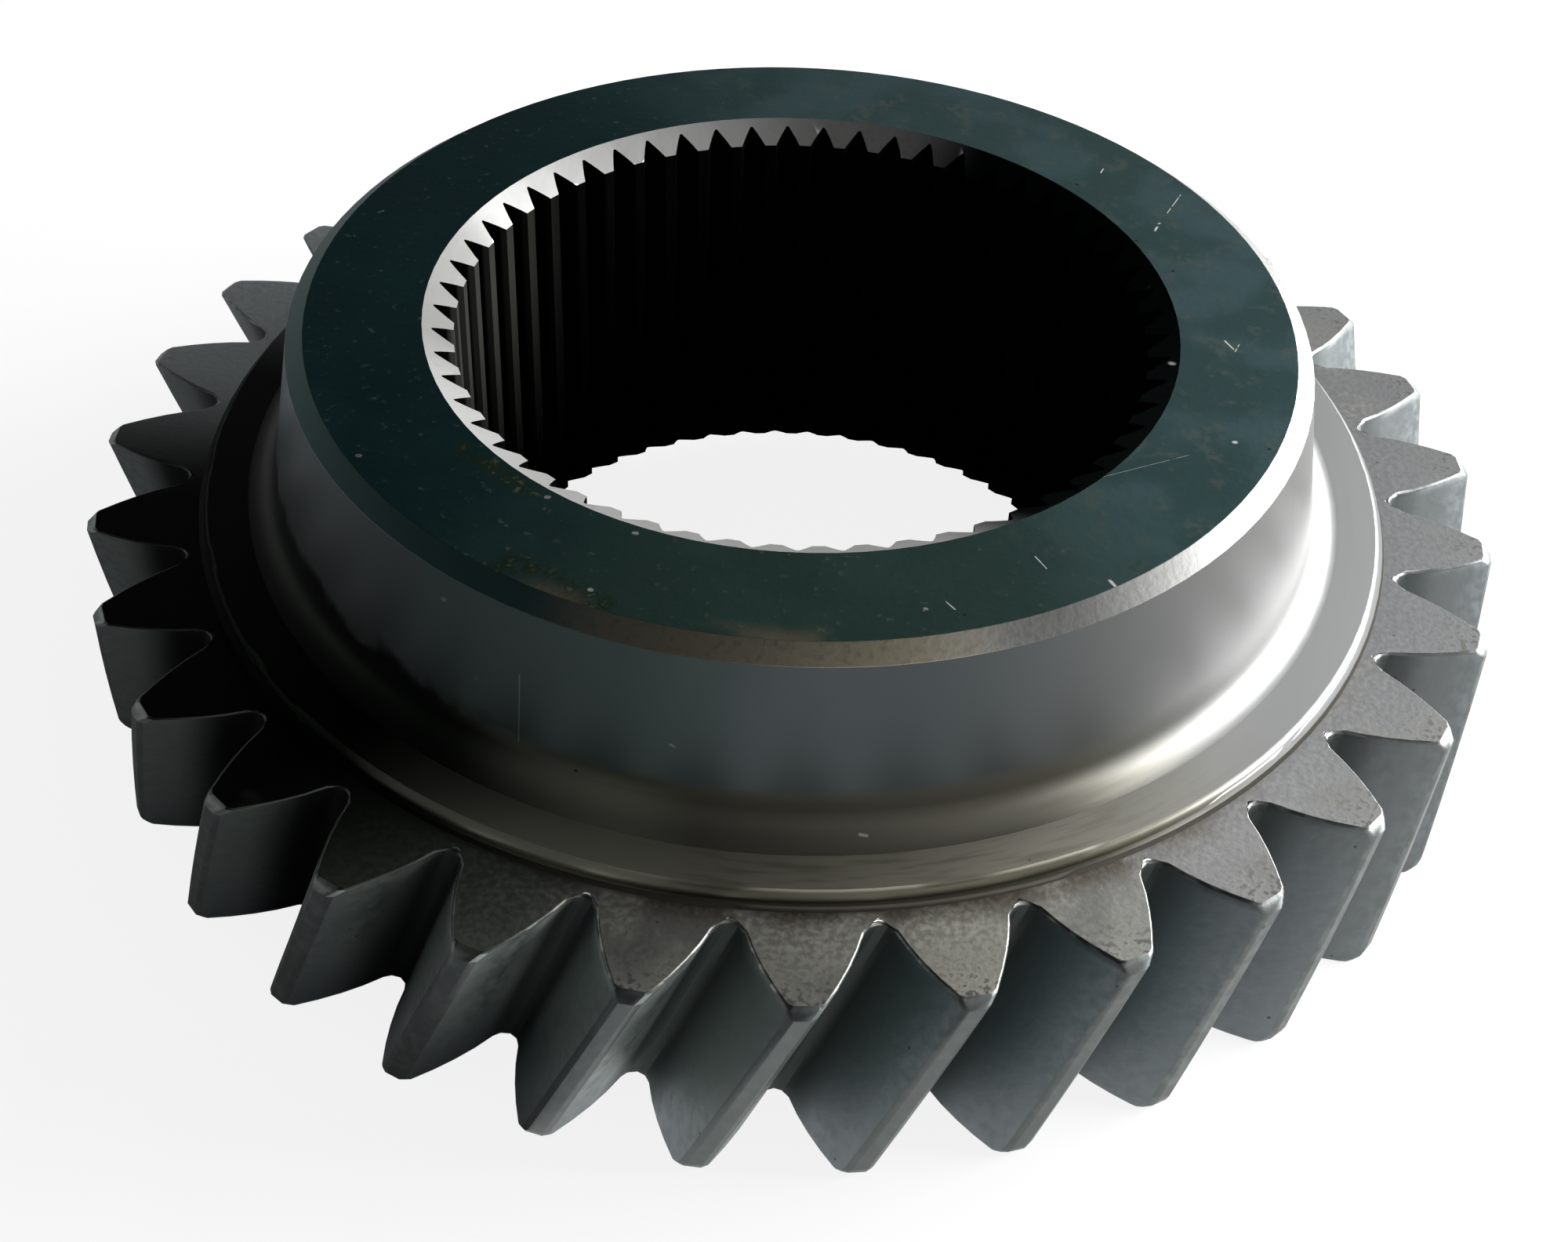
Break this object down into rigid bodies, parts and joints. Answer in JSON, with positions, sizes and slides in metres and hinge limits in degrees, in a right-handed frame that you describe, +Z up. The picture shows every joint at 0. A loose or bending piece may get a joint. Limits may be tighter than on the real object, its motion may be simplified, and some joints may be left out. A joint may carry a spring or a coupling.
{
  "type": "helical gear",
  "caption": "One-piece helical transmission gear with a tall turned collar, a coved neck and an internally splined through bore.",
  "frame": {"origin": "on the axis, on the flat lower end face", "axes": "+Z up the axis towards the collar's top face, +X through the middle of a spline groove"},
  "size_m": [0.1404, 0.1404, 0.0419],
  "materials": {
    "steel": "satin, hardened and ground"
  },
  "bodies": {
    "root": {"gear": "steel"}
  },
  "joints": []
}
